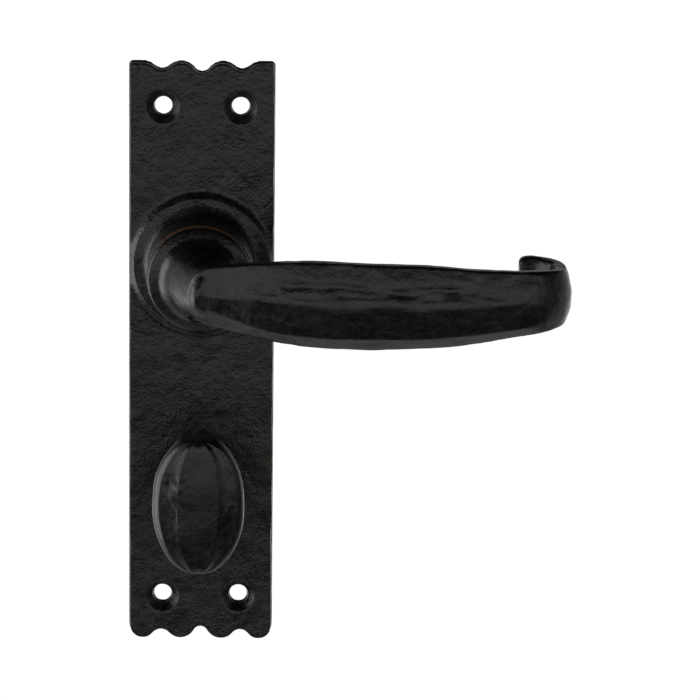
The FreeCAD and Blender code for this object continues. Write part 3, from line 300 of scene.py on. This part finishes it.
def work(piece, depth, smoothing=0):
    """Presses every point in along its normal by depth(place, normal), then smooths."""
    mesh = bmesh.new()
    mesh.from_mesh(piece.data)
    for _ in range(smoothing):
        bmesh.ops.smooth_vert(mesh, verts=mesh.verts, factor=0.5,
                              use_axis_x=True, use_axis_y=True, use_axis_z=True)
    mesh.normal_update()
    if depth:
        pressed = [(vert, vert.normal * -depth(vert.co, vert.normal)) for vert in mesh.verts]
        for vert, move in pressed:
            vert.co += move
    for face in mesh.faces:
        face.smooth = True
    mesh.to_mesh(piece.data)
    mesh.free()


def reshape(piece, shift):
    """Moves every point by shift(place)."""
    mesh = bmesh.new()
    mesh.from_mesh(piece.data)
    for vert in mesh.verts:
        vert.co += shift(vert.co)
    mesh.to_mesh(piece.data)
    mesh.free()


def write_mask(piece, name, value):
    """Stores value(place, normal) on every point for the materials to read."""
    mask = piece.data.attributes.new(name, "FLOAT", "POINT")
    mask.data.foreach_set("value", [value(vert.co, vert.normal) for vert in piece.data.vertices])


def spots(places):
    """Soft round patches: each place is x, z, radius and strength."""
    def value(place):
        total = 0.0
        for x, z, radius, strength in places:
            away = ((place.x - x) ** 2 + (place.z - z) ** 2) / (radius * radius)
            if away < 6:
                total += strength * math.exp(-away)
        return total
    return value


# ------------------------------------------------------------------ backplate
#
# In the shaping functions below, depths are in millimetres, and a level is a share of the half
# height, 0 in the middle and 1 at the top.

def make_plate():
    piece = cast_copy("cast_backplate", "backplate", PLATE_CELL, 1)
    turn_bush_low, turn_bush_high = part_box("turn_bush")
    turn_z = (turn_bush_low[2] + turn_bush_high[2]) / 2
    turn_radius = turn_bush_high[0]
    mean_depth = 0.3

    def depth(place, normal):
        """Uneven cast skin, kept true on the door face and where the bushes seat."""
        from_lever = math.hypot(place.x, place.z)
        from_turn = math.hypot(place.x, place.z - turn_z)
        free = ramp(-place.y, 0.4 * MM, 1.6 * MM)
        free *= ramp(from_lever, BUSH_RADIUS - 1.6 * MM, BUSH_RADIUS + 1.2 * MM)
        free *= ramp(from_turn, turn_radius, turn_radius + 1.5 * MM)
        swell = ripple(place, 11 * MM, 3.1) * 0.2 + ripple(place, 5 * MM, 7.7) * 0.15
        skin = ripple(place, 2.4 * MM, 1.3) * 0.05 + ripple(place, 1.2 * MM, 8.8) * 0.02
        return (mean_depth + swell + skin) * MM * free

    work(piece, depth)
    edge_wear = [(19 * MM, -55 * MM, 3 * MM, 0.9), (18 * MM, -50 * MM, 4 * MM, 0.6),
                 (16 * MM, -62 * MM, 4 * MM, 0.5)]
    screw_wear = [(10 * MM, 44.5 * MM, 2.2 * MM, 0.7), (-10 * MM, -86.8 * MM, 2.2 * MM, 0.7)]
    brown = spots(edge_wear + screw_wear + [(3 * MM, -20 * MM, 5 * MM, 0.55)])
    write_mask(piece, "wear", lambda place, normal: brown(place) * (0.7 + ripple(place, 2 * MM, 5.5)))
    paint(piece, black_iron("plate_iron", 0.28, 0.7 * MM, 0.12 * MM, PLATE_DUST))
    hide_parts("backplate")
    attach(piece, "plate")


# ------------------------------------------------------------------ lever

class Blade:
    """Half height and front face of the lever's blade, read off its mesh along +X."""

    def __init__(self, piece, step=1.0 * MM):
        self.step = step
        self.start = min(vert.co.x for vert in piece.data.vertices if vert.co.y < NOSE_PLANE)
        count = int((LEVER_BOX[1][0] - self.start) / step) + 2
        self.half = [0.0] * count
        self.face = [0.0] * count
        for vert in piece.data.vertices:
            place = vert.co
            if place.y > BLADE_PLANE or place.x < self.start:
                continue
            number = int((place.x - self.start) / step)
            self.half[number] = max(self.half[number], abs(place.z))
            self.face[number] = min(self.face[number], place.y)
        self.half = self.smoothed(self.half)
        self.face = self.smoothed(self.face)

    def smoothed(self, values):
        """Fills empty steps from the next one along and evens out the rest."""
        for number in range(len(values) - 2, -1, -1):
            if values[number] == 0.0:
                values[number] = values[number + 1]
        return [(values[max(0, i - 1)] + 2 * values[i] + values[min(len(values) - 1, i + 1)]) / 4
                for i in range(len(values))]

    def read(self, values, x):
        """Value at x, in between two steps."""
        share = max(0.0, min(len(values) - 1.001, (x - self.start) / self.step - 0.5))
        number = int(share)
        share -= number
        return values[number] * (1 - share) + values[number + 1] * share


def hammer_marks():
    """Shallow dents along the upper half of the blade: x, rise, length, height and depth."""
    draw = random.Random(11)
    marks = []
    for number in range(22):
        x = (14 + number * 2.9 + draw.uniform(-1, 1)) * MM
        rise = draw.uniform(0.22, 0.52)
        length = draw.uniform(1.6, 3.6) * MM
        height = draw.uniform(0.5, 0.8) * MM
        depth = draw.uniform(0.03, 0.13) * MM
        marks.append((x, rise, length, height, depth))
    return marks


def make_lever():
    piece = cast_copy("cast_lever", "lever", LEVER_CELL, 2)
    blade = Blade(piece)
    curl_x = LEVER_BOX[1][0] - 11 * MM
    curl_ease = 6 * MM
    nose_length = 8.2 * MM
    nose_curve = 62 * MM
    ridge_level = 0.06
    ridge_softness = 0.003
    plane_depth = 1.7
    bevel_depth = 2.0
    mean_depth = 0.22
    flare_depth = 0.75
    channel_level = 0.4
    channel_width = 1.5 * MM
    dents = hammer_marks()

    def blade_share(place):
        """How far a point belongs to the front of the blade, before the curl."""
        sunk = place.y - blade.read(blade.face, place.x)
        before_curl = 1 - ramp(place.x, curl_x - curl_ease, curl_x + curl_ease)
        return (1 - ramp(sunk, 2.6 * MM, 5.6 * MM)) * before_curl

    def facets(place):
        """Forged front: two planes that meet in a ridge, a bevel below and a rounded nose."""
        if place.y > FACET_PLANE:
            return Vector((0, 0, 0))
        half = max(blade.read(blade.half, place.x), 7.5 * MM)
        level = max(-1.0, min(1.0, place.z / half))
        along = place.x - blade.start
        nose = max(0.0, nose_length - along)
        fall = level - ridge_level
        planes = plane_depth * (math.sqrt(fall * fall + ridge_softness) - fall * fall)
        planes *= 0.3 + 0.7 * ramp(along, 0, 10 * MM)
        edge = -0.15 - 0.55 * ramp(along, -6 * MM, 24 * MM)
        bevel = bevel_depth * max(0.0, (edge - level) / (1 + edge)) * ramp(along, -4 * MM, 9 * MM)
        push = (planes + bevel) * MM - nose * nose / nose_curve
        return Vector((0, push * blade_share(place), 0))

    reshape(piece, facets)
    work(piece, None, 1)

    def depth(place, normal):
        """Hollow above the collar, an uneven skin, and a channel with dents along the blade."""
        if place.y > BUSH_TOP - 1.5 * MM:
            return 0.0
        free = ramp(-place.y, -BUSH_TOP + 1.5 * MM, -BUSH_TOP + 8 * MM)
        climb = BUSH_TOP - 2.3 * MM - place.y
        flare = ramp(climb, 0, 1.6 * MM) * (1 - ramp(climb, 1.8 * MM, 6.5 * MM))
        flare *= 1 - ramp(place.x, 18 * MM, 24 * MM)
        pressed = mean_depth + ripple(place, (14 * MM, 9 * MM, 6 * MM), 2.2) * 0.2
        pressed += ripple(place, (5 * MM, 4 * MM, 2.4 * MM), 4.9) * 0.11
        pressed += ripple(place, 1.5 * MM, 8.3) * 0.03
        if normal.y < -0.5 and place.y < DENTED_PLANE:
            half = max(blade.read(blade.half, place.x), 1 * MM)
            wander = noise.noise(Vector((place.x / (13 * MM), 3.3, 0.7)))
            away = place.z - (channel_level + 0.09 * wander) * half
            channel = math.exp(-(away / channel_width) ** 2) * ramp(place.x, 12 * MM, 30 * MM)
            channel *= 1 - ramp(place.x, 66 * MM, 80 * MM)
            pressed += channel * (0.26 + 0.22 * ripple(place, (4.5 * MM, 20 * MM, 2.4 * MM), 1.9))
            for x, rise, long, tall, deep in dents:
                away = ((place.x - x) / long) ** 2 + ((place.z - rise * half) / tall) ** 2
                if away < 5:
                    pressed += deep / MM * math.exp(-away)
        return (pressed * free + flare_depth * flare) * MM

    work(piece, depth)
    worn = spots([(37 * MM, 11 * MM, 3 * MM, 0.8)])
    write_mask(piece, "wear", lambda place, normal: worn(place) * ramp(normal.z, 0.2, 0.8))
    along_blade = (0.12, 1, 1)
    paint(piece, black_iron("lever_iron", 0.25, 0.5 * MM, 0.05 * MM, WAX_DUST, streaks=along_blade))
    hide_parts("lever")
    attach(piece, "handle")


# ------------------------------------------------------------------ thumb turn

def make_turn():
    piece = cast_copy("cast_thumb_turn", "thumb_turn", TURN_CELL, 2)
    middle = (TURN_BOX[0][2] + TURN_BOX[1][2]) / 2
    half = (TURN_BOX[1][2] - TURN_BOX[0][2]) / 2
    wide = TURN_BOX[1][0]
    back = TURN_BOX[0][1] + 12 * MM
    middle_flat = 0.44
    side_flat = 0.86
    crown = 6
    mean_depth = 0.18

    def flats(across, level):
        """Depth in millimetres of three hammered flats down the knob's rounded front."""
        out = abs(across) / math.sqrt(max(0.03, 1 - level * level))
        if out >= side_flat:
            return 0.0
        thick = crown * (1 - 0.4 * min(1.0, abs(level)) ** 6)
        near_height = math.sqrt(1 - middle_flat * middle_flat)
        far_height = math.sqrt(1 - side_flat * side_flat)
        slope = max(0.0, (out - middle_flat) / (side_flat - middle_flat))
        return thick * (math.sqrt(1 - out * out) - near_height + slope * (near_height - far_height))

    def depth(place, normal):
        """The flats, an uneven skin, and hammering on both shoulders; the shank stays true."""
        free = ramp(back - place.y, -6 * MM, 0)
        level = (place.z - middle) / half
        pressed = mean_depth + ripple(place, (5 * MM, 6 * MM, 8 * MM), 6.4) * 0.17
        pressed += flats(place.x / wide, level) * ramp(-normal.y, 0.1, 0.4)
        rim = (place.x / wide) ** 2 + level * level
        left = ramp(-place.x, 3 * MM, 6 * MM) * (1 - ramp(-place.x, 8 * MM, 10 * MM))
        facing = ramp(-normal.y, 0.5, 0.9)
        hammered = left * ramp(level, -0.4, -0.1) * (1 - ramp(level, 0.35, 0.6)) * facing
        pressed += hammered * (0.2 + 0.26 * ripple(place, (2.1 * MM, 9 * MM, 1.9 * MM), 4.4))
        right = ramp(place.x, 3 * MM, 7 * MM) * facing
        pressed += right * (0.4 + 0.12 * ripple(place, (2.2 * MM, 9 * MM, 2.6 * MM), 5.3))
        return max(0.0, pressed) * MM * free * (0.5 + 0.5 * (1 - ramp(rim, 1.1, 1.3)))

    work(piece, depth)
    write_mask(piece, "wear", lambda place, normal: 0.0)
    paint(piece, black_iron("turn_iron", 0.25, 0.45 * MM, 0.04 * MM, WAX_DUST))
    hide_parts("thumb_turn")
    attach(piece, "turn")


# ------------------------------------------------------------------ stage

def make_floor():
    """Floor well below the handle that glows as painted light instead of being lit: dim under it,
    bright far in front and behind.
    """
    below = Matrix.Translation((0, 0, -0.5))
    mesh = bmesh.new()
    bmesh.ops.create_grid(mesh, x_segments=1, y_segments=1, size=8.0, matrix=below)
    data = bpy.data.meshes.new("floor")
    mesh.to_mesh(data)
    mesh.free()
    floor = bpy.data.objects.new("floor", data)
    SCENE.collection.objects.link(floor)
    tree = material("glowing_floor")
    x = tree.node("ShaderNodeSeparateXYZ", None, {0: tree.place()}, out=0)
    y = tree.node("ShaderNodeSeparateXYZ", None, {0: tree.place()}, out=1)
    # Painted light: the floor's glow is dim under the handle and bright in bands far in front and
    # behind, and these bands light the handle's reflections.
    far_front = 1 - y.within(-2.4, -1.15)
    behind = y.within(-0.25, 0.2)
    backdrop_glow = y.within(0.7, 1.2) * (1 - abs(x).within(0.9, 1.8))
    light = 0.05 + far_front * 0.52 + behind * 0.43 + backdrop_glow * 0.56
    glow = tree.node("ShaderNodeEmission", None, {"Color": WHITE, "Strength": light})
    paint(floor, tree.finish(glow))


def make_world():
    """White studio wall behind, a soft box over the camera, dimmer air between."""
    world = bpy.data.worlds.new("studio")
    SCENE.world = world
    tree = Tree(world)
    direction = tree.node("ShaderNodeTexCoord", out=0)
    axes = [tree.node("ShaderNodeSeparateXYZ", None, {0: direction}, out=axis) for axis in range(3)]
    x, y, z = axes
    wall = y.within(-0.05, 0.2) * (1 - z.within(0.12, 0.45))
    box = (1 - abs(x).within(0.85, 0.99)) * (1 - z.within(0.22, 0.42)) * (1 - y.within(-0.3, -0.02))
    light = 0.02 + box * 0.95 + wall * 0.38
    glow = tree.node("ShaderNodeBackground", None, {"Color": WHITE, "Strength": light})
    tree.finish(glow, "ShaderNodeOutputWorld")
    SCENE.view_settings.view_transform = "Standard"


def soft_light(name, place, target, width, height, power):
    """Rectangular soft box that the camera doesn't see."""
    data = bpy.data.lights.new(name, "AREA")
    data.shape = "RECTANGLE"
    data.size = width
    data.size_y = height
    data.energy = power
    light = bpy.data.objects.new(name, data)
    light.location = place
    light.rotation_mode = "QUATERNION"
    light.rotation_quaternion = (Vector(target) - Vector(place)).to_track_quat("-Z", "Y")
    light.visible_camera = False
    SCENE.collection.objects.link(light)


def make_camera():
    """Long lens, a little above the handle and square to the plate. Angles in degrees."""
    data = bpy.data.cameras.new("camera")
    data.lens = 237.24
    data.sensor_width = 36.0
    data.clip_start = 0.01
    data.clip_end = 50.0
    camera = bpy.data.objects.new("camera", data)
    elevation = math.radians(12.845)
    azimuth = math.radians(-0.812)
    roll = math.radians(0.616)
    distance = 1.207
    target = Vector((0.03894, -0.0045, -0.02267))
    level = math.cos(elevation)
    back = Vector((math.sin(azimuth) * level, -math.cos(azimuth) * level, math.sin(elevation)))
    camera.location = target + back * distance
    camera.rotation_mode = "QUATERNION"
    tilt = Matrix.Rotation(roll, 3, "Z").to_quaternion()
    camera.rotation_quaternion = (-back).to_track_quat("-Z", "Y") @ tilt
    SCENE.collection.objects.link(camera)
    SCENE.camera = camera


make_camera()
make_world()
make_floor()
soft_light("low_box", (0.02, -0.12, -0.45), (0.02, -0.03, -0.02), width=0.8, height=0.42, power=0.5)
soft_light("left_box", (-0.8, -0.02, -0.12), (0, 0, -0.02), width=0.7, height=1.0, power=5.2)
finish_fittings()
make_plate()
make_lever()
make_turn()
